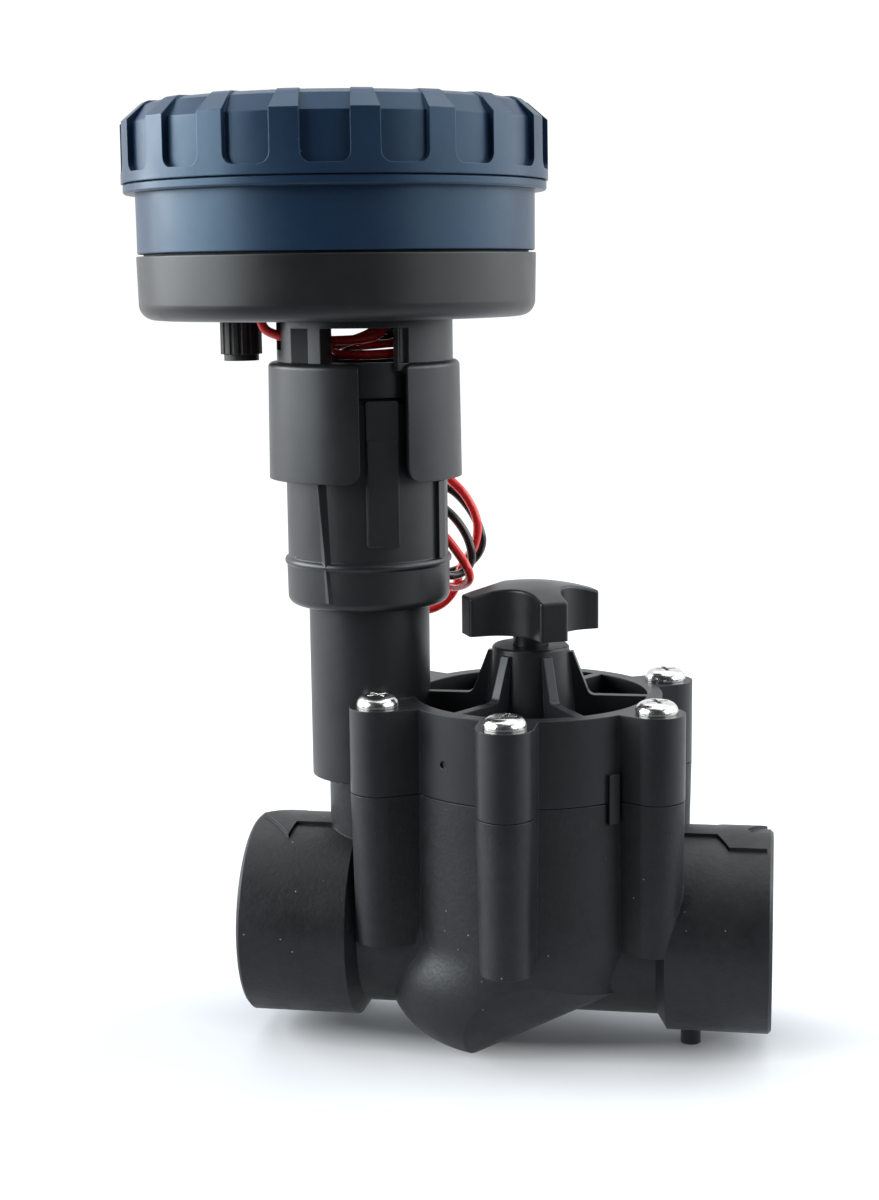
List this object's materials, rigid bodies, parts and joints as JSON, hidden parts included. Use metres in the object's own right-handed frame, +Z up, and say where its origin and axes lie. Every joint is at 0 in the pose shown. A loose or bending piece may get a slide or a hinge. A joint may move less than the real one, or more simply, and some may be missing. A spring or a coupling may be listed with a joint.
{
  "type": "battery irrigation controller",
  "caption": "Round battery controller with a twist-off blue cover, on a latching solenoid and a globe irrigation valve with a flow-control handle.",
  "frame": {"origin": "centre of the valve's foot, on the surface that the valve stands on, under the bowl's left part", "axes": "+Z up along the valve's stem, +X along the pipe line towards the inlet port, -Y towards the side seen in the picture"},
  "size_m": [0.1381, 0.0896, 0.2034],
  "materials": {
    "black_moulding": "satin, slightly grained glass-filled moulding",
    "blue_moulding": "satin navy blue moulding",
    "grey_moulding": "satin dark grey moulding",
    "white_moulding": "satin natural moulding",
    "black_rubber": "matte black rubber",
    "button_rubber": "matte rubber keys",
    "stainless_screws": "bright pan-head screws",
    "spring_steel": "drawn spring wire",
    "core_steel": "turned steel",
    "copper_winding": "enamelled winding",
    "clear_window": "clear window",
    "display_grey": "grey-green display",
    "board_green": "green lacquered board",
    "component_black": "moulded black components",
    "battery_case": "wrapped block battery",
    "red_wire": "glossy red insulation",
    "black_wire": "glossy black insulation"
  },
  "bodies": {
    "valve": {"valve_body": "black_moulding", "bonnet": "black_moulding", "bonnet_screws": "stainless_screws", "pilot_seal": "black_rubber", "diaphragm": "black_rubber", "diaphragm_spring": "spring_steel"},
    "diaphragm_core": {"diaphragm_plate": "white_moulding", "seat_washer": "black_rubber", "seat_retainer": "white_moulding", "retainer_screw": "stainless_screws"},
    "thrust": {"thrust_cap": "black_moulding"},
    "handle": {"flow_handle": "black_moulding", "flow_stem": "black_moulding", "stem_oring": "black_rubber"},
    "head": {"solenoid_housing": "black_moulding", "solenoid_oring": "black_rubber", "solenoid_end_cap": "black_moulding", "coil_bobbin": "white_moulding", "coil_winding": "copper_winding", "core_tube": "core_steel", "pole_piece": "core_steel", "latch_magnet": "core_steel", "plunger_spring": "spring_steel", "bracket": "black_moulding", "bracket_screws": "stainless_screws", "controller_base": "black_moulding", "case_screws": "stainless_screws", "base_seal": "black_rubber", "lead_grommet": "black_rubber", "sensor_port_cap": "black_moulding", "housing": "blue_moulding", "face_plate": "grey_moulding", "display_window": "clear_window", "display_module": "display_grey", "circuit_board": "board_green", "board_parts": "component_black", "board_screws": "stainless_screws", "battery": "battery_case", "battery_connector": "component_black", "lead_red": "red_wire", "lead_black": "black_wire", "lead_sensor": "red_wire"},
    "plunger": {"plunger": "core_steel", "plunger_seal": "black_rubber"},
    "gasket": {"cover_gasket": "black_rubber"},
    "cover": {"cover": "blue_moulding"},
    "button_program": {"button_program": "button_rubber"},
    "button_back": {"button_back": "button_rubber"},
    "button_forward": {"button_forward": "button_rubber"},
    "button_start": {"button_start": "button_rubber"}
  },
  "joints": [
    {"name": "diaphragm_lift", "type": "slide", "parent": "valve", "child": "diaphragm_core", "axis": [0, 0, 1], "range_m": [0, 0.0045], "stiffness_N_per_m": 400, "springref_m": -0.008, "deforming": ["diaphragm", "diaphragm_spring"]},
    {"name": "stem_rise", "type": "slide", "parent": "valve", "child": "thrust", "axis": [0, 0, 1], "range_m": [-0.002, 0.004]},
    {"name": "handle_turn", "type": "hinge", "parent": "thrust", "child": "handle", "pos_m": [0.013, 0, 0.095], "axis": [0, 0, 1], "range_deg": [-360, 720]},
    {"name": "solenoid_turn", "type": "hinge", "parent": "valve", "child": "head", "pos_m": [-0.0223, 0, 0.097], "axis": [0, 0, 1], "range_deg": [0, 90]},
    {"name": "plunger_travel", "type": "slide", "parent": "head", "child": "plunger", "axis": [0, 0, 1], "range_m": [0, 0.002], "stiffness_N_per_m": 600, "springref_m": -0.004, "deforming": ["plunger_spring"]},
    {"name": "cover_lift", "type": "slide", "parent": "head", "child": "gasket", "axis": [0, 0, 1], "range_m": [0, 0.05]},
    {"name": "cover_turn", "type": "hinge", "parent": "gasket", "child": "cover", "pos_m": [-0.0279, 0, 0.19], "axis": [0, 0, 1], "range_deg": [0, 25]},
    {"name": "press_program", "type": "slide", "parent": "head", "child": "button_program", "axis": [0, 0, -1], "range_m": [0, 0.001], "stiffness_N_per_m": 800, "springref_m": -0.0006},
    {"name": "press_back", "type": "slide", "parent": "head", "child": "button_back", "axis": [0, 0, -1], "range_m": [0, 0.001], "stiffness_N_per_m": 800, "springref_m": -0.0006},
    {"name": "press_forward", "type": "slide", "parent": "head", "child": "button_forward", "axis": [0, 0, -1], "range_m": [0, 0.001], "stiffness_N_per_m": 800, "springref_m": -0.0006},
    {"name": "press_start", "type": "slide", "parent": "head", "child": "button_start", "axis": [0, 0, -1], "range_m": [0, 0.001], "stiffness_N_per_m": 800, "springref_m": -0.0006}
  ],
  "couplings": [
    {"joint": "handle_turn", "follows": "stem_rise", "rad_per_m": 3141.6}
  ]
}
